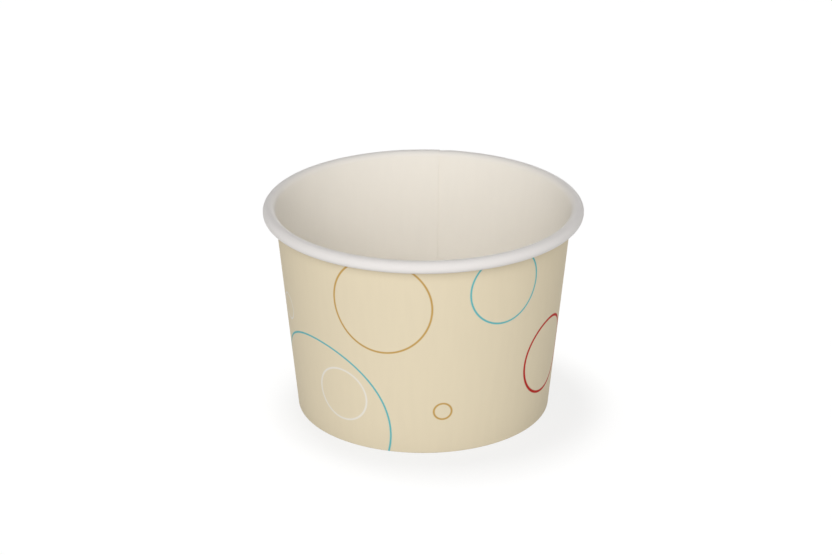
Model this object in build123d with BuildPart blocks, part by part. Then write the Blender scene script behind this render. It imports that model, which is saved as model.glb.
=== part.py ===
from build123d import *

import os
from math import asin, atan2, cos, degrees, hypot, sin, tan

# Paper dessert cup, in millimetres, +Z up. The origin is the middle of the foot, on the table.
# The sidewall is one blank of coated board: wrapped to a cone, lapped at the back (+Y), rolled
# outwards at the rim and folded inwards at the foot. The bottom is a second piece of board, a disc
# with its edge turned down as a skirt, which is glued between the wall and the folded hem.

# Overall sizes
rim_diameter = 96.0  # outside of the rolled rim
cup_height = 64.5
foot_diameter = 76.8  # outside of the wall, carried down to the table

# Board
wall_board = 0.33
bottom_board = 0.28
seal_film = 0.02  # coating between the bottom's skirt and the plies beside it

# Rolled rim
roll_width = 3.9  # across the roll, from the inner wall to the outside
roll_clearance = 0.15  # between one turn of the roll and the next
roll_turn = 410.0  # degrees that the top edge turns through, so that it ends inside the roll

# Lap seam
seam_azimuth = 83.5  # cut edge on the inside, in degrees from +X
seam_lap = 7.0  # width of the two glued plies, halfway up the wall
seam_ramp = 4.5  # width over which the outer ply comes down beside the cut edge, halfway up
seam_notch = 1.0  # the outer ply stops this far above the table, so that the fold has one ply

# Foot
bottom_recess = 7.5  # from the table up to the underside of the disc
bottom_bend_radius = 0.6  # inside the bend from the disc to its skirt
hem_clearance = 0.4  # from the hem's cut edge up to that bend
skirt_clearance = 0.3  # from the skirt's cut edge down to the fold

# The roll starts along the wall's inner face. Its first half turn is the rim's outline, and each
# later half turn is tighter, so that the edge passes inside the turn before it.
half_turn = 180.0
roll_radius = roll_width / 2
roll_tightening = (wall_board + roll_clearance) / 2
roll_center = Vector(rim_diameter / 2 - roll_radius, cup_height - roll_radius)

# Taper of the wall: its printed face runs from the foot to a tangent on the roll.
foot_radius = foot_diameter / 2
run = roll_center.X - foot_radius
rise = roll_center.Y
taper = atan2(run, rise) - asin((roll_radius - wall_board) / hypot(run, rise))
outwards = Vector(cos(taper), -sin(taper))

# Depth of each ply behind the printed face, square to the wall
skirt_depth = wall_board + seal_film
hem_depth = skirt_depth + bottom_board + seal_film
foot_depth = hem_depth + wall_board

# Heights
lap_start = seam_notch
lap_end = cup_height - roll_width
disc_top = bottom_recess + bottom_board
hem_top = bottom_recess - bottom_bend_radius - hem_clearance
skirt_end = wall_board + skirt_clearance


def wall_point(height, depth):
    """Point at a height, on the line that lies a depth behind the wall's printed face."""
    radius = foot_radius + height * tan(taper) - depth / cos(taper)
    return Vector(radius, height)


# Angles that the lap and the ramp take up round the cup
middle_radius = wall_point((lap_start + lap_end) / 2, 0).X
lap_angle = degrees(seam_lap / middle_radius)
ramp_angle = degrees(seam_ramp / middle_radius)
ramp_foot = seam_azimuth - ramp_angle
ramp_end_depth = wall_board / 2  # the ramp's face ends in the middle of the wall's board


def seam_point(height, depth, azimuth):
    """Point on a level plane at a height, at a depth behind the printed face and at an azimuth."""
    return Vector(wall_point(height, depth).X, 0).rotate(Axis.Z, azimuth)


def rolled_edge(wall_line, radius):
    """Roll outwards from the top of a wall line in ever tighter half turns, and return the last arc."""
    arc = wall_line
    turn_left = roll_turn
    while turn_left > 0:
        arc = JernArc(arc @ 1, arc % 1, radius, -min(turn_left, half_turn))
        radius -= roll_tightening
        turn_left -= half_turn
    return arc


# Sidewall: the section of one ply from the hem's cut edge to the edge inside the roll
with BuildPart() as sidewall:
    with BuildSketch(Plane.XZ):
        with BuildLine():
            printed_radius = roll_radius - wall_board
            printed_face = FilletPolyline(
                wall_point(hem_top, foot_depth),
                wall_point(0, foot_depth),
                wall_point(0, 0),
                roll_center - outwards * printed_radius,
                radius=wall_board,
            )
            printed_end = rolled_edge(printed_face, printed_radius)
            inner_face = Polyline(
                wall_point(hem_top, hem_depth),
                wall_point(wall_board, hem_depth),
                wall_point(wall_board, wall_board),
                roll_center - outwards * roll_radius,
            )
            inner_end = rolled_edge(inner_face, roll_radius)
            Line(printed_face @ 0, inner_face @ 0)
            Line(printed_end @ 1, inner_end @ 1)
        make_face()
    revolve(axis=Axis.Z)

    # The outer ply of the seam, glued on the wall, and its ramp down into the wall
    for height in (lap_start, lap_end):
        with BuildSketch(Plane.XY.offset(height)):
            with BuildLine():
                outer_ply = CenterArc((0, 0), wall_point(height, -wall_board).X, seam_azimuth, lap_angle)
                glue_radius = wall_point(height, ramp_end_depth).X
                glue_line = CenterArc((0, 0), glue_radius, ramp_foot, ramp_angle + lap_angle)
                Line(outer_ply @ 0, glue_line @ 0)
                Line(outer_ply @ 1, glue_line @ 1)
            make_face()
    loft(ruled=True)

    # The channel under the ramp, one board deeper, beside the cut edge of the inner ply
    channel_depth = ramp_end_depth + wall_board
    for height in (lap_start, lap_end):
        with BuildSketch(Plane.XY.offset(height)):
            with BuildLine():
                Polyline(
                    seam_point(height, 0, seam_azimuth),
                    seam_point(height, channel_depth, ramp_foot),
                    seam_point(height, channel_depth, seam_azimuth),
                    close=True,
                )
            make_face()
    loft(ruled=True, mode=Mode.SUBTRACT)

# Bottom: a flat disc with its edge bent down along the wall
with BuildPart() as bottom_disc:
    with BuildSketch(Plane.XZ):
        with BuildLine():
            upper_face = FilletPolyline(
                (0, disc_top),
                wall_point(disc_top, skirt_depth),
                wall_point(skirt_end, skirt_depth),
                radius=bottom_bend_radius + bottom_board,
            )
            lower_face = FilletPolyline(
                (0, bottom_recess),
                wall_point(bottom_recess, skirt_depth + bottom_board),
                wall_point(skirt_end, skirt_depth + bottom_board),
                radius=bottom_bend_radius,
            )
            Line(upper_face @ 0, lower_face @ 0)
            Line(upper_face @ 1, lower_face @ 1)
        make_face()
    revolve(axis=Axis.Z)

sidewall.part.label = "sidewall"
bottom_disc.part.label = "bottom_disc"

os.makedirs("parts", exist_ok=True)
export_step(sidewall.part, "parts/sidewall.step")
export_step(bottom_disc.part, "parts/bottom_disc.step")

print(f"taper of the wall: {degrees(taper):.3f} degrees")
for piece in (sidewall, bottom_disc):
    print(f"{piece.part.label}: {piece.part.volume:.1f} mm3, valid {piece.part.is_valid}")
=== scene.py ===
# %% [markdown]
# # A paper dessert cup
# The cup is two pieces of coated board: a printed sidewall, wrapped, rolled and folded, and a bottom disc.
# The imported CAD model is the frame. It gives the sizes and the place of each piece, and it is never
# changed. Two finer pieces of board will stand for its two nodes, with a real sheet's faces, edges and
# finish.

# %% Load the frame
import math

import bmesh
import bpy
import numpy as np
from mathutils import Matrix, Vector


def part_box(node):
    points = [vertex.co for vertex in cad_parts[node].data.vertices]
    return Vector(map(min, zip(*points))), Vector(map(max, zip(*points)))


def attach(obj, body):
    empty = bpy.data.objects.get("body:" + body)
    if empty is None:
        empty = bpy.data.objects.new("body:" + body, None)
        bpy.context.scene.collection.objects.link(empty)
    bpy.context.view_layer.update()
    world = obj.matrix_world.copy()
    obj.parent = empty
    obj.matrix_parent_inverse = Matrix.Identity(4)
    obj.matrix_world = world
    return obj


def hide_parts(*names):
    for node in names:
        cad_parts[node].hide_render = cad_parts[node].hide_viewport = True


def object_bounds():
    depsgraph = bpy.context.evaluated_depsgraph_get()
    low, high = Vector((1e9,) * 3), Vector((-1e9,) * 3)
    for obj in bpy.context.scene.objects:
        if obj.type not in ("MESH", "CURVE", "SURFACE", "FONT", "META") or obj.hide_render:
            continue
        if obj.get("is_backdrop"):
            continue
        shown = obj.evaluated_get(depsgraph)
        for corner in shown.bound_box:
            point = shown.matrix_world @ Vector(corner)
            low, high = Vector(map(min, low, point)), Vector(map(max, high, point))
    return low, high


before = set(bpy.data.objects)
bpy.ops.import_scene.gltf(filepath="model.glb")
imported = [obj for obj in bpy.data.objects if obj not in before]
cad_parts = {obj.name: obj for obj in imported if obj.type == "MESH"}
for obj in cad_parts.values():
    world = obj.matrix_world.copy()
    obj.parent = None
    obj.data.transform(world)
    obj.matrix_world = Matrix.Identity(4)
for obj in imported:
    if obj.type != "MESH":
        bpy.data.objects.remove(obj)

cad_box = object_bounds()
wall_low, wall_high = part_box("sidewall")
disc_low, disc_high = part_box("bottom_disc")
print("cup", [round(1000 * size, 2) for size in wall_high - wall_low], "mm")

# %% [markdown]
# ## Sizes of the board
# A cup is drawn as a flat blank first, so the sizes here are those of the sheet: its thickness, its lap,
# its roll and its fold. The rim's width, the height and the bottom's level are read from the frame, so a
# change there carries through. The wall's lean follows from the foot and from the roll that it has to run
# into.

# %% Board, roll, seam and fold
MM = 0.001

WALL_BOARD = 0.33 * MM
BOTTOM_BOARD = 0.28 * MM
GLUE_FILM = 0.02 * MM

RIM_RADIUS = wall_high.x
CUP_HEIGHT = wall_high.z
FOOT_RADIUS = 38.4 * MM  # printed face, carried down to the table
ROLL_RADIUS = 1.95 * MM
ROLL_GAP = 0.15 * MM  # between two turns of the roll
FOLD_RADIUS = 0.36 * MM
FOLD_SQUEEZE = 0.06  # share of the board that the seam's outer ply stands off under the foot
HEM_TOP = 6.5 * MM
BOTTOM_BEND = 0.88 * MM  # upper face of the disc, into its skirt

roll_across = RIM_RADIUS - ROLL_RADIUS
roll_level = CUP_HEIGHT - ROLL_RADIUS
printed_roll = ROLL_RADIUS - WALL_BOARD
run = roll_across - FOOT_RADIUS
LEAN = math.atan2(run, roll_level) - math.asin(printed_roll / math.hypot(run, roll_level))
print("the wall leans out by", round(math.degrees(LEAN), 3), "degrees")

# %% [markdown]
# ## The sheet's section
# Cut the cup in half and the board shows as one line: down the hem, round the fold, up the wall and round
# the roll. It could be drawn point by point, but a maker would walk along it: so far straight on, then so
# many degrees to the left or right. The walk keeps to the front face, which is the printed one on the wall
# and the upper one on the disc. Each step leaves a point and the direction in which that face looks there.
# The points become a small mesh of edges, which a node tree will carry round the cup.

# %% Walking along a board
LEFT, RIGHT = 1, -1


class BoardWalk:
    """Walks along the front face of a board, in the plane of its section (radius, height)."""

    def __init__(self, start, heading):
        self.point = Vector(start)
        self.heading = heading
        self.length = 0.0
        self.points = []
        self.leave_point()

    def leave_point(self):
        """Keep the point, the direction in which the front face looks, and the length so far."""
        looks = Vector((math.sin(self.heading), -math.cos(self.heading)))
        self.points.append((self.point.copy(), looks, self.length))

    def step(self, distance, turn):
        middle = self.heading + turn / 2
        self.point += distance * Vector((math.cos(middle), math.sin(middle)))
        self.heading += turn
        self.length += abs(distance)
        self.leave_point()

    def straight(self, distance, steps):
        """Walk straight on, and return the length so far."""
        for _ in range(steps):
            self.step(distance / steps, 0.0)
        return self.length

    def bend(self, radius, degrees, side, steps):
        """Walk round a bend of the front face, and return the length so far."""
        turn = side * math.radians(degrees) / steps
        chord = 2 * radius * math.sin(abs(turn) / 2)
        for _ in range(steps):
            self.step(chord, turn)
        return self.length


# %% Section of the sidewall
hem_depth = 2 * WALL_BOARD + BOTTOM_BOARD + 2 * GLUE_FILM
lean_degrees = math.degrees(LEAN)
fold_in = FOLD_RADIUS * math.tan(math.radians(90 + lean_degrees) / 2)
fold_out = FOLD_RADIUS * math.tan(math.radians(90 - lean_degrees) / 2)
foot_flat = hem_depth / math.cos(LEAN) - fold_in - fold_out
off_the_wall = Vector((math.cos(LEAN), -math.sin(LEAN)))
wall_top = Vector((roll_across, roll_level)) - printed_roll * off_the_wall
foot_level = FOLD_SQUEEZE * WALL_BOARD  # room for the seam's outer ply, which rests on the table
wall_run = (wall_top - Vector((FOOT_RADIUS, 0))).length - foot_level / math.cos(LEAN) - fold_out

hem_edge = Vector((FOOT_RADIUS + HEM_TOP * math.tan(LEAN) - hem_depth / math.cos(LEAN), HEM_TOP))
wall_walk = BoardWalk(hem_edge, math.radians(-90) - LEAN)
wall_walk.straight((HEM_TOP - foot_level) / math.cos(LEAN) - fold_in, steps=9)
wall_walk.bend(FOLD_RADIUS, 90 + lean_degrees, LEFT, steps=6)
wall_walk.straight(foot_flat, steps=1)
fold_end = wall_walk.bend(FOLD_RADIUS, 90 - lean_degrees, LEFT, steps=6)
wall_end = wall_walk.straight(wall_run, steps=15)
tighter = (WALL_BOARD + ROLL_GAP) / 2  # each half turn, so that the roll clears itself
wall_walk.bend(printed_roll, 180, RIGHT, steps=16)
wall_walk.bend(printed_roll - tighter, 180, RIGHT, steps=13)
wall_walk.bend(printed_roll - 2 * tighter, 50, RIGHT, steps=3)
print("the blank is", round(wall_walk.length / MM, 1), "mm from cut edge to cut edge")

# %% [markdown]
# ## The bottom's section
# The bottom is a disc pressed into a shallow pan that stands upside down: its skirt hangs between the wall
# and the hem, and the glue on it holds the cup together. A flat disc would look the same from above, but
# from below the skirt's bend shows as a groove inside the hem. The same walk draws it, from the skirt's cut
# edge to the middle.

# %% Section of the bottom
skirt_depth = WALL_BOARD + GLUE_FILM
skirt_end = disc_low.z
disc_level = disc_high.z
skirt_edge = Vector((FOOT_RADIUS + skirt_end * math.tan(LEAN) - skirt_depth / math.cos(LEAN), skirt_end))
bend_in = BOTTOM_BEND * math.tan(math.radians(90 + lean_degrees) / 2)
skirt_run = (disc_level - skirt_end) / math.cos(LEAN) - bend_in

bottom_walk = BoardWalk(skirt_edge, math.radians(90) - LEAN)
bottom_walk.straight(skirt_run, steps=4)
bottom_walk.bend(BOTTOM_BEND, 90 + lean_degrees, LEFT, steps=10)
bottom_walk.straight(bottom_walk.point.x, steps=12)
print("the disc's upper face lies at", round(bottom_walk.point.y / MM, 2), "mm")

# %% [markdown]
# ## What each point of the section knows
# Two rules change from point to point, so they ride on the section as numbers. `lap_share` says how much of
# a board's thickness the outer ply of the seam stands off: all of it on the wall, less where the tools
# squeeze the plies together in the roll, and next to none in the fold. `knurl_share` is 1 on the part of
# the hem where a toothed wheel presses the plies together, and 0 elsewhere.

# %% Section as a mesh of edges
ROLL_SQUEEZE = 0.5
SQUEEZE_RUN = 1.6 * MM
KNURL_LOW, KNURL_HIGH = 1.4 * MM, 5.6 * MM
KNURL_FADE = 0.5 * MM


def ease(value, low, high):
    """Rise smoothly from 0 at low to 1 at high."""
    share = min(max((value - low) / (high - low), 0.0), 1.0)
    return share * share * (3 - 2 * share)


def lap_share(length):
    """How far the seam's outer ply stands off at a length along the section, in boards."""
    onto_wall = ease(length, fold_end, fold_end + SQUEEZE_RUN)
    into_roll = ease(length, wall_end - SQUEEZE_RUN, wall_end + SQUEEZE_RUN)
    return FOLD_SQUEEZE + (1 - FOLD_SQUEEZE) * onto_wall - (1 - ROLL_SQUEEZE) * into_roll


def knurl_share(point, looks):
    """1 on the knurled part of the hem, fading to 0 at its edges, and 0 elsewhere."""
    if looks.x > 0:  # the hem is the stretch that looks towards the axis, below the roll
        return 0.0
    up = ease(point.y, KNURL_LOW, KNURL_LOW + KNURL_FADE)
    down = ease(point.y, KNURL_HIGH - KNURL_FADE, KNURL_HIGH)
    return up * (1 - down)


def store(mesh, name, kind, field, values):
    """Keep one number or direction for each point of a mesh."""
    attribute = mesh.attributes.new(name, kind, "POINT")
    attribute.data.foreach_set(field, np.array(values, np.float32).ravel())


def section_mesh(name, walk, apex_distance, has_seam):
    """Turn a walk into an edge mesh that holds the outward direction and the rules for each point."""
    points = [(point.x, 0.0, point.y) for point, looks, length in walk.points]
    edges = [(i, i + 1) for i in range(len(points) - 1)]
    mesh = bpy.data.meshes.new(name)
    mesh.from_pydata(points, edges, [])
    share = 1.0 if has_seam else 0.0
    store(mesh, "looks", "FLOAT_VECTOR", "vector", [(looks.x, 0.0, looks.y) for _, looks, _ in walk.points])
    store(mesh, "slant", "FLOAT", "value", [apex_distance + length for _, _, length in walk.points])
    store(mesh, "lap_share", "FLOAT", "value", [share * lap_share(length) for _, _, length in walk.points])
    store(mesh, "knurl_share", "FLOAT", "value", [share * knurl_share(*step[:2]) for step in walk.points])
    section = bpy.data.objects.new(name, mesh)
    bpy.context.scene.collection.objects.link(section)
    return section


APEX_TO_FOOT = FOOT_RADIUS / math.sin(LEAN)  # along the slant, from the tip of the cone
slant_start = APEX_TO_FOOT + foot_level / math.cos(LEAN) - (fold_end - fold_out)
wall_section = section_mesh("wall_section", wall_walk, slant_start, has_seam=True)
bottom_section = section_mesh("bottom_section", bottom_walk, 0.0, has_seam=False)
print("section points:", len(wall_walk.points), "wall,", len(bottom_walk.points), "bottom")

# %% [markdown]
# ## A bench for nodes
# The trees below are long, and a tree is easier to read when one line adds one node. This helper adds a
# node, sets it, and plugs each input with either a plain value or another node's output.

# %% Node helper
class NodeBench:
    """Adds nodes to a tree and links them."""

    def __init__(self, tree):
        self.tree = tree

    def plug(self, socket, value):
        """Give a socket a plain value, or link another node's output to it."""
        if isinstance(value, bpy.types.NodeSocket):
            self.tree.links.new(value, socket)
        else:
            socket.default_value = value

    def add(self, kind, inputs=None, **settings):
        node = self.tree.nodes.new(kind)
        for name, value in settings.items():
            setattr(node, name, value)
        for socket, value in (inputs or {}).items():
            self.plug(node.inputs[socket], value)
        return node

    def math(self, operation, *values):
        node = self.add("ShaderNodeMath", operation=operation)
        for socket, value in zip(node.inputs, values):
            self.plug(socket, value)
        return node.outputs[0]

    def vector(self, operation, *values):
        node = self.add("ShaderNodeVectorMath", operation=operation)
        for socket, value in zip(node.inputs, values):
            self.plug(socket, value)
        return node

    def blend(self, share, first, second):
        """Colour that goes from the first to the second as share goes from 0 to 1."""
        node = self.add("ShaderNodeMix", data_type="RGBA")
        for socket, value in zip((node.inputs[0], node.inputs[6], node.inputs[7]), (share, first, second)):
            self.plug(socket, value)
        return node.outputs[2]

    def rise(self, value, low, high, bottom=0.0, top=1.0):
        """Value that goes smoothly from bottom to top while another goes from low to high."""
        ends = {"Value": value, "From Min": low, "From Max": high, "To Min": bottom, "To Max": top}
        return self.add("ShaderNodeMapRange", ends, interpolation_type="SMOOTHSTEP").outputs[0]


# %% [markdown]
# ## Wrapping the board
# The real machine wraps a flat blank round a cone, and the tree does the same. A flat grid has one row for
# each point of the section and one column for each step round the cup. Each grid point looks up its place
# in the section, moves off the printed face by the seam's and the knurl's rules, and is turned to its
# azimuth. A spin of the section would be shorter, but it can't lap: here the sheet goes round once and then
# 7 mm more, climbing over its own cut edge. The flat place of each point is kept as a UV map called
# `blank`, in the coordinates of the unrolled cone (angle and distance from its tip), because that is where
# the print is drawn.

# %% Tree that wraps a board
WELD = 0.001 * MM  # points nearer than this are one point
FRONT = 1.5 * math.pi  # azimuth of the front, where the blank's angle is zero
WRAP_INPUTS = (
    ("Section", "NodeSocketObject"),
    ("Material", "NodeSocketMaterial"),
    ("Columns", "NodeSocketInt"),
    ("Rows", "NodeSocketInt"),
    ("Start azimuth", "NodeSocketFloat"),
    ("Turn", "NodeSocketFloat"),
    ("Ramp start", "NodeSocketFloat"),
    ("Ramp end", "NodeSocketFloat"),
    ("Board", "NodeSocketFloat"),
    ("Knurl depth", "NodeSocketFloat"),
    ("Knurl teeth", "NodeSocketFloat"),
    ("Flat angle share", "NodeSocketFloat"),
)


def wrap_tree():
    """Geometry Nodes tree that wraps a section round the cup and keeps each point's flat place."""
    tree = bpy.data.node_groups.new("wrap a board", "GeometryNodeTree")
    tree.is_modifier = True
    for name, kind in WRAP_INPUTS:
        tree.interface.new_socket(name=name, in_out="INPUT", socket_type=kind)
    tree.interface.new_socket(name="Geometry", in_out="OUTPUT", socket_type="NodeSocketGeometry")
    bench = NodeBench(tree)
    size = bench.add("NodeGroupInput").outputs

    section = bench.add("GeometryNodeObjectInfo", {"Object": size["Section"]}).outputs["Geometry"]
    grid = bench.add("GeometryNodeMeshGrid", {"Vertices X": size["Columns"], "Vertices Y": size["Rows"]})
    grid_point = bench.add("GeometryNodeInputPosition").outputs[0]
    place = bench.add("ShaderNodeSeparateXYZ", {0: grid_point}).outputs
    round_share = bench.math("ADD", place["X"], 0.5)  # the grid is 1 by 1, about its middle
    last_row = bench.math("SUBTRACT", size["Rows"], 1.0)
    row = bench.math("ROUND", bench.math("MULTIPLY", bench.math("ADD", place["Y"], 0.5), last_row))

    def of_section(value, kind):
        inputs = {"Geometry": section, "Value": value, "Index": row}
        return bench.add("GeometryNodeSampleIndex", inputs, data_type=kind, domain="POINT").outputs[0]

    def stored(name, kind):
        node = bench.add("GeometryNodeInputNamedAttribute", {"Name": name}, data_type=kind)
        return of_section(node.outputs["Attribute"], kind)

    section_point = of_section(bench.add("GeometryNodeInputPosition").outputs[0], "FLOAT_VECTOR")
    looks = stored("looks", "FLOAT_VECTOR")
    azimuth = bench.math("MULTIPLY_ADD", round_share, size["Turn"], size["Start azimuth"])

    ramp = bench.rise(azimuth, size["Ramp start"], size["Ramp end"])
    ply = bench.math("MULTIPLY", bench.math("MULTIPLY", size["Board"], ramp), stored("lap_share", "FLOAT"))
    wave = bench.math("COSINE", bench.math("MULTIPLY", azimuth, size["Knurl teeth"]))
    tooth = bench.math("MULTIPLY", bench.math("MULTIPLY_ADD", wave, 0.5, 0.5), size["Knurl depth"])
    ridge = bench.math("MULTIPLY", tooth, stored("knurl_share", "FLOAT"))
    lift = bench.vector("SCALE", looks)
    bench.plug(lift.inputs["Scale"], bench.math("ADD", ply, ridge))
    lifted = bench.vector("ADD", section_point, lift.outputs[0]).outputs[0]

    lifted = bench.add("ShaderNodeSeparateXYZ", {0: lifted}).outputs
    across = bench.math("MULTIPLY", lifted["X"], bench.math("COSINE", azimuth))
    along = bench.math("MULTIPLY", lifted["X"], bench.math("SINE", azimuth))
    wrapped = bench.add("ShaderNodeCombineXYZ", {"X": across, "Y": along, "Z": lifted["Z"]}).outputs[0]

    from_front = bench.math("SUBTRACT", azimuth, FRONT)
    flat_angle = bench.math("MULTIPLY", from_front, size["Flat angle share"])
    flat = bench.add("ShaderNodeCombineXYZ", {"X": flat_angle, "Y": stored("slant", "FLOAT")}).outputs[0]

    kept = {"Geometry": grid.outputs["Mesh"], "Name": "blank", "Value": flat}
    blank = bench.add("GeometryNodeStoreNamedAttribute", kept, data_type="FLOAT2", domain="CORNER")
    board = bench.add("GeometryNodeSetPosition", {"Geometry": blank.outputs[0], "Position": wrapped})
    closed = bench.add("GeometryNodeMergeByDistance", {"Geometry": board.outputs[0], "Distance": WELD})
    smooth = bench.add("GeometryNodeSetShadeSmooth", {"Geometry": closed.outputs[0], "Shade Smooth": True})
    real = bench.add("GeometryNodeRealizeInstances", {"Geometry": smooth.outputs[0]})
    inked = bench.add("GeometryNodeSetMaterial", {"Geometry": real.outputs[0], "Material": size["Material"]})
    bench.add("NodeGroupOutput", {"Geometry": inked.outputs[0]})
    return tree


WRAP = wrap_tree()
print("tree", WRAP.name, "has", len(WRAP.nodes), "nodes")

# %% [markdown]
# ## The print
# The pattern is a set of thin rings in four inks. They are true circles on the flat blank, and lean and
# swell only because the blank is wrapped, so they are drawn on the unrolled cone and not from any one side.
# The set covers half the way round and the press repeats it once, so the angle is folded back into one half
# before the circles are measured. An image could hold the print, but a distance to a circle is sharp at any
# size.

# %% Ring node group
INK_SPREAD = 0.16 * MM  # soft edge of the ink, to each side of the line's edge


def ring_group():
    """Node group that inks one ring: a line of even width at a radius round a centre on the blank."""
    tree = bpy.data.node_groups.new("printed ring", "ShaderNodeTree")
    sockets = (
        ("Place", "NodeSocketVector"), ("Centre", "NodeSocketVector"), ("Radius", "NodeSocketFloat"),
        ("Line", "NodeSocketFloat"), ("Board", "NodeSocketColor"), ("Ink", "NodeSocketColor"),
    )
    for name, kind in sockets:
        tree.interface.new_socket(name=name, in_out="INPUT", socket_type=kind)
    tree.interface.new_socket(name="Colour", in_out="OUTPUT", socket_type="NodeSocketColor")
    bench = NodeBench(tree)
    size = bench.add("NodeGroupInput").outputs
    distance = bench.vector("DISTANCE", size["Place"], size["Centre"]).outputs["Value"]
    off_line = bench.math("ABSOLUTE", bench.math("SUBTRACT", distance, size["Radius"]))
    half = bench.math("MULTIPLY", size["Line"], 0.5)
    inner = bench.math("SUBTRACT", half, INK_SPREAD)
    outer = bench.math("ADD", half, INK_SPREAD)
    ink = bench.rise(off_line, inner, outer, bottom=1.0, top=0.0)
    bench.add("NodeGroupOutput", {"Colour": bench.blend(ink, size["Board"], size["Ink"])})
    return tree


RING = ring_group()
print("group", RING.name, "has", len(RING.nodes), "nodes")

# %% [markdown]
# ## Inks and rings
# Each ring is one line of sizes, measured on the blank in millimetres: how far its centre lies to the right
# of the front and above the foot, its radius, and the width of its line. The inks are written as a colour
# picker shows them and turned to the linear values that Blender works in.

# %% Inks and rings
def paint(red, green, blue):
    """Linear colour from the 0 to 255 values that a colour picker shows."""
    def linear(value):
        share = value / 255
        return share / 12.92 if share <= 0.04045 else ((share + 0.055) / 1.055) ** 2.4
    return (linear(red), linear(green), linear(blue), 1.0)


CREAM = paint(225, 212, 184)
TAN = paint(193, 156, 88)
TEAL = paint(98, 180, 184)
RED = paint(183, 41, 35)
WHITE_INK = paint(231, 225, 214)

RINGS = (  # ink, centre on the blank across and up from the foot, radius, width of the line, all in mm
    (TAN, -12.65, 48.36, 15.07, 0.58),
    (TEAL, 25.35, 51.89, 11.60, 0.58),
    (RED, 45.27, 20.65, 11.99, 0.84),
    (TAN, 5.55, 14.23, 2.63, 0.58),
    (TEAL, -34.74, 5.66, 24.95, 0.58),
    (WHITE_INK, -25.73, 15.73, 8.41, 0.58),
    (WHITE_INK, -53.2, 33.3, 4.0, 0.50),
)
print(len(RINGS), "rings in the set, printed twice round the cup")

# %% [markdown]
# ## Board finishes
# Cup board is pressed paper with a thin film on it. Its fibres lie mostly along the height of the wall, so
# it shows faint upright streaks in colour and a fine grain in the surface, and the film leaves it nearly
# matt. A picture of paper could be laid on, but noise that is stretched along the fibres follows the blank
# and never repeats. All five finishes share that grain and differ in tone, in roughness and in how smooth
# the grain is pressed.

# %% Place on the board
def blank_place(bench):
    """Place on the flat blank: its angle and distance from the tip, and the two as lengths for the grain."""
    blank = bench.add("ShaderNodeUVMap", uv_map="blank").outputs[0]
    flat = bench.add("ShaderNodeSeparateXYZ", {0: blank}).outputs
    across = bench.math("MULTIPLY", flat["X"], APEX_TO_FOOT)
    return flat, bench.add("ShaderNodeCombineXYZ", {"X": across, "Y": flat["Y"]}).outputs[0]


def disc_place(bench):
    """Place on the disc, which is cut flat from its sheet, so its fibres run straight across it."""
    return bench.add("ShaderNodeTexCoord").outputs["Object"]


# %% Fibre grain shared by the finishes
STREAKS_A_METRE = (520.0, 70.0, 70.0)  # across the fibres and along them
GRAINS_A_METRE = (3200.0, 1100.0, 1100.0)
NOISE_LOW, NOISE_HIGH = 0.3, 0.7  # most of a noise lies between these
ROUGHNESS_SPREAD = 0.06


def fibres(bench, place):
    """Long streaks and fine grain of pressed paper. Returns both as values from 0 to 1."""
    streak_place = bench.vector("MULTIPLY", place, STREAKS_A_METRE).outputs[0]
    streaks = bench.add("ShaderNodeTexNoise", {"Vector": streak_place, "Scale": 1.0, "Detail": 3.0})
    grain_place = bench.vector("MULTIPLY", place, GRAINS_A_METRE).outputs[0]
    grain = bench.add("ShaderNodeTexNoise", {"Vector": grain_place, "Scale": 1.0, "Detail": 2.0})
    return streaks.outputs["Fac"], grain.outputs["Fac"]


def new_finish(name):
    """Empty material, and a bench to build it on."""
    finish = bpy.data.materials.new(name)
    finish.use_nodes = True
    finish.node_tree.nodes.clear()
    return finish, NodeBench(finish.node_tree)


def streaked(bench, tone, streaks, variation):
    """A tone that the fibre streaks make a little darker and lighter."""
    shares = (1 - variation, 1 + variation)
    darker, lighter = [(*(share * value for value in tone[:3]), 1.0) for share in shares]
    return bench.blend(bench.rise(streaks, NOISE_LOW, NOISE_HIGH), darker, lighter)


def satin_board(bench, colour, grain, roughness, specular, height):
    """Principled surface with the fibre grain in its roughness and bump."""
    smooth, coarse = roughness - ROUGHNESS_SPREAD, roughness + ROUGHNESS_SPREAD
    rough = bench.rise(grain, NOISE_LOW, NOISE_HIGH, bottom=smooth, top=coarse)
    bump = bench.add("ShaderNodeBump", {"Strength": 1.0, "Distance": height, "Height": grain})
    surface = bench.add("ShaderNodeBsdfPrincipled", {
        "Base Color": colour, "Roughness": rough, "Specular IOR Level": specular, "Normal": bump.outputs[0],
    })
    bench.add("ShaderNodeOutputMaterial", {"Surface": surface.outputs[0]})


# %% [markdown]
# ## The printed outside
# The press lays a cream ground on the whole blank and the rings over it, one ink after another. The
# material does the same: it starts with the streaked cream and passes it through one ring group after
# another. The ring set's place is worked out once, with the angle folded back for the repeat.

# %% Printed outside
PRINT_STREAKS = 0.006  # share by which a streak is darker or lighter
PRINT = {"roughness": 0.6, "specular": 0.05, "height": 0.006 * MM}


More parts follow.
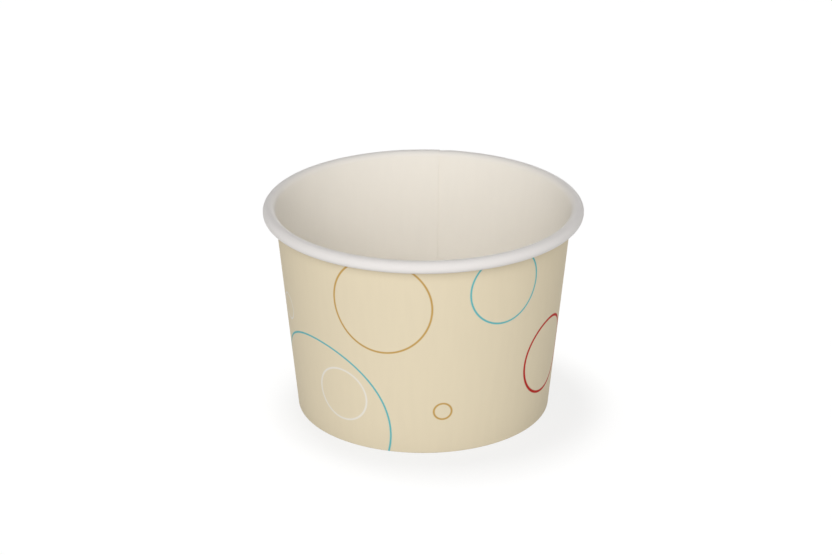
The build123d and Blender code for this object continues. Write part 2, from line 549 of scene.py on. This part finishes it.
def printed_finish():
    """Cream ground with the rings inked over it."""
    finish, bench = new_finish("printed board")
    flat, place = blank_place(bench)
    streaks, grain = fibres(bench, place)
    colour = streaked(bench, CREAM, streaks, PRINT_STREAKS)

    half_set = math.pi / 2 * math.sin(LEAN)
    angle = bench.math("WRAP", flat["X"], half_set, -half_set)
    across = bench.math("MULTIPLY", flat["Y"], bench.math("SINE", angle))
    up = bench.math("MULTIPLY_ADD", flat["Y"], bench.math("COSINE", angle), -APEX_TO_FOOT)
    print_place = bench.add("ShaderNodeCombineXYZ", {"X": across, "Y": up}).outputs[0]
    for ink, centre_across, centre_up, radius, line in RINGS:
        centre = (centre_across * MM, centre_up * MM, 0.0)
        ring = bench.tree.nodes.new("ShaderNodeGroup")
        ring.node_tree = RING
        inputs = {
            "Place": print_place, "Centre": centre, "Radius": radius * MM, "Line": line * MM,
            "Board": colour, "Ink": ink,
        }
        for name, value in inputs.items():
            bench.plug(ring.inputs[name], value)
        colour = ring.outputs["Colour"]
    satin_board(bench, colour, grain, **PRINT)
    return finish


PRINTED = printed_finish()
print(PRINTED.name, "has", len(PRINTED.node_tree.nodes), "nodes")

# %% [markdown]
# ## The coated inside
# The inside is unprinted white board under its film. The roll at the rim shows this same face, because the
# board is curled outwards. The roll is given a darker, greyer white than the inside, as painted shade and
# sheen for the light that falls on the curl. Two materials could meet in a line there, but the change is
# gradual, so one material blends the two tones along the blank.

# %% Coated inside
COATED_WHITE = paint(240, 235, 226)
# Painted shade and sheen on the roll: a darker, greyer white than the inside.
PAINTED_ROLL_SHADE = paint(230, 226, 223)
FILM_STREAKS = 0.004
FILM = {"roughness": 0.48, "specular": 0.08, "height": 0.005 * MM}
# Where the roll's painted shade begins and where it is full, along the blank from the roll's start.
ROLL_FROM, ROLL_TO = -0.4 * MM, 3.2 * MM  # along the blank from the roll's start, where the tone changes


def coated_wall():
    """Inside of the wall and outside of the roll, where a greyer white is painted shade and sheen."""
    finish, bench = new_finish("coated wall")
    flat, place = blank_place(bench)
    streaks, grain = fibres(bench, place)
    roll_start = slant_start + wall_end
    # The roll's painted shade and sheen, blended in along the blank.
    rolled = bench.rise(flat["Y"], roll_start + ROLL_FROM, roll_start + ROLL_TO)
    colour = bench.blend(rolled, streaked(bench, COATED_WHITE, streaks, FILM_STREAKS), PAINTED_ROLL_SHADE)
    satin_board(bench, colour, grain, **FILM)
    return finish


def plain_board(name, place_of, tone, variation, **surface):
    """Board of one tone, with its grain laid out by place_of."""
    finish, bench = new_finish(name)
    streaks, grain = fibres(bench, place_of(bench))
    satin_board(bench, streaked(bench, tone, streaks, variation), grain, **surface)
    return finish


COATED = coated_wall()
COATED_DISC = plain_board("coated disc", disc_place, COATED_WHITE, FILM_STREAKS, **FILM)
print("inside finishes:", COATED.name, "and", COATED_DISC.name)

# %% [markdown]
# ## Underside and cut edges
# The disc's underside has no film, so it is rougher and a little greyer, and a cut edge shows the bare
# fibres. Both are hidden or thin, and they keep the plain look of such board.

# %% Uncoated underside and cut edges
def edge_place(bench):
    """Place on the flat blank for the grain alone."""
    return blank_place(bench)[1]


UNCOATED_WHITE = paint(236, 232, 222)
UNCOATED_STREAKS = 0.012
UNCOATED = {"roughness": 0.75, "specular": 0.2, "height": 0.012 * MM}
CUT_WHITE = paint(241, 237, 227)
CUT_STREAKS = 0.02
CUT = {"roughness": 0.85, "specular": 0.15, "height": 0.02 * MM}
UNDERSIDE = plain_board("uncoated disc", disc_place, UNCOATED_WHITE, UNCOATED_STREAKS, **UNCOATED)
CUT_EDGE = plain_board("cut edge", edge_place, CUT_WHITE, CUT_STREAKS, **CUT)
print("finishes:", [finish.name for finish in (PRINTED, COATED, COATED_DISC, UNDERSIDE, CUT_EDGE)])

# %% [markdown]
# ## Making the two pieces
# The tree gives the front face only. A Solidify modifier gives the sheet its thickness behind that face,
# and its material offsets dress the back in a finish of its own and the cut edges in bare board. The result
# is then frozen to a plain mesh, because the piece that is handed on has no modifiers.

# %% Wrapping, thickening and freezing
def board_piece(name, section, sizes, thickness, face, back, edge):
    """One piece of board: wrap its section, give it thickness, and freeze it to a plain mesh."""
    piece = bpy.data.objects.new(name, bpy.data.meshes.new(name))
    bpy.context.scene.collection.objects.link(piece)
    slots = (None, face, back, edge)  # the grid brings an empty first slot, so the face takes the second
    for finish in slots:
        piece.data.materials.append(finish)
    wrap = piece.modifiers.new("wrap", "NODES")
    wrap.node_group = WRAP
    sockets = [socket for socket in WRAP.interface.items_tree if socket.in_out == "INPUT"]
    inputs = {socket.name: socket.identifier for socket in sockets}
    rows = len(section.data.vertices)
    for socket, value in {"Section": section, "Material": face, "Rows": rows, **sizes}.items():
        wrap[inputs[socket]] = value
    sheet = piece.modifiers.new("thickness", "SOLIDIFY")
    sheet.thickness = thickness
    sheet.offset = -1.0
    sheet.use_even_offset = True
    sheet.material_offset = 1
    sheet.material_offset_rim = 2

    bpy.context.view_layer.update()
    evaluated = piece.evaluated_get(bpy.context.evaluated_depsgraph_get())
    mesh = bpy.data.meshes.new_from_object(evaluated)
    worn = np.empty(len(mesh.polygons), np.int32)
    mesh.polygons.foreach_get("material_index", worn)
    mesh.materials.clear()
    for finish in (face, back, edge):
        mesh.materials.append(finish)
    mesh.polygons.foreach_set("material_index", worn - 1)
    piece.modifiers.clear()
    piece.data = mesh
    bpy.data.objects.remove(section)
    print(name, "faces by finish:", np.bincount(worn - 1).tolist())
    return piece


# %% Sidewall and bottom
SEAM_AZIMUTH = math.radians(83.5)
LAP = 7.0 * MM
RAMP = 3.4 * MM
middle_radius = FOOT_RADIUS + CUP_HEIGHT / 2 * math.tan(LEAN)
once_round = SEAM_AZIMUTH + 2 * math.pi
wall_sizes = {
    "Columns": 481,
    "Start azimuth": SEAM_AZIMUTH,
    "Turn": 2 * math.pi + LAP / middle_radius,
    "Ramp start": once_round - RAMP / middle_radius,
    "Ramp end": once_round,
    "Board": WALL_BOARD,
    "Knurl depth": 0.2 * MM,
    "Knurl teeth": 80.0,
    "Flat angle share": math.sin(LEAN),
}
bottom_sizes = {**wall_sizes, "Columns": 241, "Turn": 2 * math.pi, "Board": BOTTOM_BOARD, "Knurl depth": 0.0}
cup_wall = board_piece("cup_wall", wall_section, wall_sizes, WALL_BOARD, PRINTED, COATED, CUT_EDGE)
cup_bottom = board_piece(
    "cup_bottom", bottom_section, bottom_sizes, BOTTOM_BOARD, COATED_DISC, UNDERSIDE, CUT_EDGE)

# %% [markdown]
# ## Closing the meshes
# Doubles are merged and the faces are checked: the volume that a closed mesh holds is positive only when
# its faces look outwards. Edges that turn by more than the rounding of a fold are marked sharp, so that the
# cut edges stay crisp while the roll and the wall shade smoothly.

# %% Merge, turn and sharpen
SHARP_ANGLE = math.radians(40)


def close_mesh(piece):
    """Merge doubles, make the faces look outwards and mark sharp edges."""
    shape = bmesh.new()
    shape.from_mesh(piece.data)
    bmesh.ops.remove_doubles(shape, verts=shape.verts, dist=WELD / 2)
    bmesh.ops.dissolve_degenerate(shape, edges=shape.edges, dist=WELD / 2)
    if shape.calc_volume(signed=True) < 0:
        bmesh.ops.reverse_faces(shape, faces=shape.faces)
    open_edges = sum(1 for edge in shape.edges if len(edge.link_faces) != 2)
    volume = shape.calc_volume(signed=True)
    shape.to_mesh(piece.data)
    shape.free()
    piece.data.shade_smooth()
    piece.data.set_sharp_from_angle(angle=SHARP_ANGLE)
    triangles = sum(len(face.vertices) - 2 for face in piece.data.polygons)
    print(piece.name, triangles, "triangles,", round(volume * 1e9, 1), "mm3,", open_edges, "open edges")


for piece in (cup_wall, cup_bottom):
    close_mesh(piece)

# %% [markdown]
# ## Maps for baking
# Whoever bakes the finishes to an image needs each face to have a place of its own on it. An automatic map
# would cut the board into many pieces, but a board has a natural map, its flat blank. The places on the
# blank are known already, so each map starts from them. The cut edges are too narrow to unroll and become
# small fields in a thin row.

# %% Corners on the blank
BACK_FACE, CUT_FACE = 1, 2  # finishes after the front face, in the order of a piece's slots
EDGES_FROM, EDGES_TO = 0.975, 1.0  # row of the cut edges, up the map
MARGIN = 0.004  # round the whole map


def blank_corners(mesh):
    """Angle and distance on the blank of every corner, and the corner count and finish of every face."""
    counts = np.empty(len(mesh.polygons), np.int32)
    finish = np.empty(len(mesh.polygons), np.int32)
    mesh.polygons.foreach_get("loop_total", counts)
    mesh.polygons.foreach_get("material_index", finish)
    flat = np.empty(2 * len(mesh.loops), np.float32)
    mesh.uv_layers["blank"].data.foreach_get("uv", flat)
    angle, slant = flat.reshape(-1, 2).T
    return angle, slant, counts, finish


def lay_edge_row(across, up, counts, finish, length):
    """Move the corners of the cut edges to a row of small fields."""
    is_cut = np.repeat(finish == CUT_FACE, counts)
    first = np.repeat(np.cumsum(counts) - counts, counts)
    corner = (np.arange(len(is_cut)) - first)[is_cut]
    order = np.repeat(np.cumsum(finish == CUT_FACE) - 1, counts)[is_cut]
    right_side = np.isin(corner, (1, 2))
    across[is_cut] = length * ((order + right_side) / np.count_nonzero(finish == CUT_FACE))
    up[is_cut] = np.where(corner < 2, EDGES_FROM, EDGES_TO)


def keep_map(piece, across, up):
    """Store a map under the name that the bake looks for."""
    baked = (MARGIN + (1 - 2 * MARGIN) * np.stack([across, up], 1)).astype(np.float32)
    piece.data.uv_layers.new(name="OFBake").data.foreach_set("uv", baked.ravel())
    print(piece.name, "baking map reaches from", baked.min(0).round(3), "to", baked.max(0).round(3))


# %% [markdown]
# ## Strips of the sidewall
# The printed face is laid out as two long strips, half the way round each, with most of the height for the
# wall and little for the roll and the hem. The coated face is a third strip, and the cut edges are the row
# above it.

# %% Strips of the sidewall
STRIP = 0.42  # height of one printed strip
WALL_SHARE = (0.0, 0.03, 0.38, 0.41)  # hem's edge, fold, roll and inner edge, in one printed strip
COATED_FROM, COATED_TO = 0.845, 0.965


def strip_map(piece, start, turn):
    """Lay the sidewall out in strips, along its way round the cup."""
    angle, slant, counts, finish = blank_corners(piece.data)
    round_share = (angle / math.sin(LEAN) + FRONT - start) / turn
    first = np.cumsum(counts) - counts
    second_half = np.repeat(np.add.reduceat(round_share, first) / counts > 0.5, counts)
    stops = (slant.min(), slant_start + fold_end, slant_start + wall_end, slant.max())
    across = 2 * round_share - second_half
    up = np.interp(slant, stops, WALL_SHARE) + STRIP * second_half

    coated = np.repeat(finish == BACK_FACE, counts)
    across[coated] = round_share[coated]
    up[coated] = np.interp(slant[coated], (slant.min(), slant.max()), (COATED_FROM, COATED_TO))
    lay_edge_row(across, up, counts, finish, length=1.0)
    keep_map(piece, across, up)


strip_map(cup_wall, SEAM_AZIMUTH, wall_sizes["Turn"])

# %% [markdown]
# ## Discs of the bottom
# The bottom's blank is a plain disc, and both its faces are mapped as one: the distance from the skirt's cut
# edge becomes the distance from the rim of a circle. Two circles have most room when they lie corner to
# corner in the square.

# %% Discs of the bottom
DISC_HALF = 0.285
DISC_MIDDLES = (0.29, 0.71)  # upper face and underside, both across and up
EDGE_ROW = 0.55  # length of the row, which ends short of the underside's circle


def disc_map(piece, reach):
    """Lay the disc's two faces out as circles."""
    angle, slant, counts, finish = blank_corners(piece.data)
    azimuth = angle / math.sin(LEAN) + FRONT
    underside = np.repeat(finish == BACK_FACE, counts)
    middle = np.where(underside, DISC_MIDDLES[1], DISC_MIDDLES[0])
    from_below = np.where(underside, -1, 1)  # seen from below, the way round turns about
    out = DISC_HALF * (1 - slant / reach)
    across = middle + out * np.cos(azimuth)
    up = middle + from_below * out * np.sin(azimuth)
    lay_edge_row(across, up, counts, finish, EDGE_ROW)
    keep_map(piece, across, up)


disc_map(cup_bottom, bottom_walk.length)

# %% [markdown]
# ## Joining the frame
# Each piece rides on the cup's one body and stands for the CAD node of the same board, which is hidden.

# %% Ride and replace
stands_for = (
    (cup_wall, "sidewall", "printed_board"),
    (cup_bottom, "bottom_disc", "coated_board"),
)
for piece, node, slot in stands_for:
    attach(piece, "root")
    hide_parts(node)
    print(piece.name, "stands for", node, "in", slot)

# %% [markdown]
# ## The floor
# The cup stands on a white paper sweep, lit until it is as white as the page. More lamps could do that, but
# they would bleach the cup too. So the floor adds a glow of its own, which only the camera and reflections
# see in full; the light that it throws on the cup stays that of a plain pale surface. What it still takes
# from a lamp is what the cup's shadow takes away.

# %% Floor
FLOOR_GLOW = 0.8  # shown to the camera and in reflections
FLOOR_LIGHT = 0.4  # thrown on the cup
FLOOR_GREY = (0.2, 0.2, 0.2, 1.0)
FLOOR_HALF = 3.0
WHITE = (1.0, 1.0, 1.0, 1.0)


def seen_rays(bench):
    """1 for a ray that the eye follows, straight, by reflection or through glass, and 0 for the rest."""
    ray = bench.add("ShaderNodeLightPath").outputs
    straight_or_glossy = bench.math("MAXIMUM", ray["Is Camera Ray"], ray["Is Glossy Ray"])
    return bench.math("MAXIMUM", straight_or_glossy, ray["Is Transmission Ray"])


def white_sweep():
    """Matt paper with a glow of its own."""
    finish, bench = new_finish("white sweep")
    glow = bench.math("MULTIPLY_ADD", seen_rays(bench), FLOOR_GLOW - FLOOR_LIGHT, FLOOR_LIGHT)
    matt = bench.add("ShaderNodeBsdfDiffuse", {"Color": FLOOR_GREY})
    even = bench.add("ShaderNodeEmission", {"Color": WHITE, "Strength": glow})
    sum_of_both = bench.add("ShaderNodeAddShader", {0: matt.outputs[0], 1: even.outputs[0]})
    bench.add("ShaderNodeOutputMaterial", {"Surface": sum_of_both.outputs[0]})
    return finish


floor_mesh = bpy.data.meshes.new("floor")
floor_corners = [(x * FLOOR_HALF, y * FLOOR_HALF, 0.0) for x, y in ((-1, -1), (1, -1), (1, 1), (-1, 1))]
floor_mesh.from_pydata(floor_corners, [], [(0, 1, 2, 3)])
floor_mesh.materials.append(white_sweep())
floor = bpy.data.objects.new("floor", floor_mesh)
bpy.context.scene.collection.objects.link(floor)
floor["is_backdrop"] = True
print("floor of", 2 * FLOOR_HALF, "m")

# %% [markdown]
# ## The lamps
# A large box in front, a low one under it and a weak one on the right model the roundness of the wall. One
# box stands low behind the cup for its back, and one overhead is narrowed down to the bottom disc. A studio
# keeps the shadows of such lamps off the table with flags; here light linking does it, and one more lamp
# overhead lights the floor alone and gives the cup its one soft shadow.

# %% Lamps
def flags(name, thing, state):
    """List for a lamp's light linking that leaves one thing out, or takes in that thing alone."""
    group = bpy.data.collections.new(name)
    group.objects.link(thing)
    group.collection_objects[0].light_linking.link_state = state
    return group


OFF_THE_FLOOR = flags("flagged off the floor", floor, "EXCLUDE")
ON_THE_FLOOR = flags("floor only", floor, "INCLUDE")
ON_THE_DISC = flags("disc only", cup_bottom, "INCLUDE")


def softbox(name, place, width, height, watts, lights=OFF_THE_FLOOR):
    """Rectangular soft lamp that looks at the middle of the cup."""
    lamp = bpy.data.lights.new(name, "AREA")
    lamp.shape = "RECTANGLE"
    lamp.size, lamp.size_y = width, height
    lamp.energy = watts
    holder = bpy.data.objects.new(name, lamp)
    holder.location = place
    towards_cup = Vector((0, 0, CUP_HEIGHT / 2)) - Vector(place)
    holder.rotation_euler = towards_cup.to_track_quat("-Z", "Y").to_euler()
    holder.light_linking.receiver_collection = lights
    bpy.context.scene.collection.objects.link(holder)
    return holder


# %% Boxes round the cup
OVERHEAD_TURN = math.radians(17)
softbox("front box", (-0.3, -1.2, 0.9), width=0.9, height=0.7, watts=9.3)
softbox("low box", (-0.05, -1.3, 0.45), width=0.8, height=0.6, watts=4.4)
softbox("right box", (1.2, -0.1, 0.8), width=0.8, height=0.8, watts=1.7)
softbox("back box", (0.1, 1.25, 0.12), width=0.5, height=0.2, watts=1.8)
softbox("inside box", (0.0, 0.0, 1.5), width=0.5, height=0.5, watts=5.0, lights=ON_THE_DISC)
overhead = softbox(
    "overhead box", (-0.36, 0.32, 4.0), width=0.84, height=1.2, watts=120.0, lights=ON_THE_FLOOR)
overhead.rotation_euler = (0.0, 0.0, OVERHEAD_TURN)  # straight down, and not at the cup
print("lamps:", {lamp.name: round(lamp.energy, 1) for lamp in bpy.data.lights}, "W")

# %% [markdown]
# ## The light tent
# The rest of the light comes from all round, as in a tent of white cloth. An even tent would make the top of
# the roll its brightest place, so this one is brighter at its sides than overhead. The camera and
# reflections see it as white.

# %% Light tent
TENT_SIDES, TENT_TOP = 0.52, 0.22
world = bpy.data.worlds.new("light tent")
world.use_nodes = True
bpy.context.scene.world = world
tent = NodeBench(world.node_tree)
tent_light = world.node_tree.nodes["Background"]
tent.plug(tent_light.inputs["Color"], WHITE)
tent_place = tent.add("ShaderNodeTexCoord").outputs["Generated"]
tent_up = tent.add("ShaderNodeSeparateXYZ", {0: tent_place}).outputs["Z"]
tent_wall = tent.rise(tent_up, 0.0, 1.0, bottom=TENT_SIDES, top=TENT_TOP)
tent.plug(tent_light.inputs["Strength"], tent.math("MAXIMUM", seen_rays(tent), tent_wall))
print("tent from", TENT_SIDES, "at its sides to", TENT_TOP, "overhead")

# %% [markdown]
# ## The camera
# The photograph was taken from a little above the rim with a long lens. The rim's and the foot's ellipses
# give the height and the distance of the camera, and the axis gives its tilt.

# %% Camera
CAMERA_PLACE = Vector((-2.22, -689.83, 330.89)) * MM
LOOK_DOWN = math.radians(22.8585)
TILT = math.radians(0.0835)
camera = bpy.data.cameras.new("camera")
camera.sensor_width = 36.0
camera.lens = 106.97
camera_holder = bpy.data.objects.new("camera", camera)
turned = Matrix.Rotation(math.pi / 2 - LOOK_DOWN, 4, "X") @ Matrix.Rotation(-TILT, 4, "Z")
camera_holder.matrix_world = Matrix.Translation(CAMERA_PLACE) @ turned
bpy.context.scene.collection.objects.link(camera_holder)
bpy.context.scene.camera = camera_holder
bpy.context.scene.view_settings.view_transform = "Standard"
print("the camera sees", round(math.degrees(camera.angle), 2), "degrees across")

# %% [markdown]
# ## Both boxes
# The dressed cup has to fill the CAD model's box and stay inside it, so both boxes are printed.

# %% Sizes and finish
visual_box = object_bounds()
boxes = {"cad": [list(corner) for corner in cad_box], "visual": [list(corner) for corner in visual_box]}
for name, box in boxes.items():
    print(name, [[round(value / MM, 3) for value in corner] for corner in box])
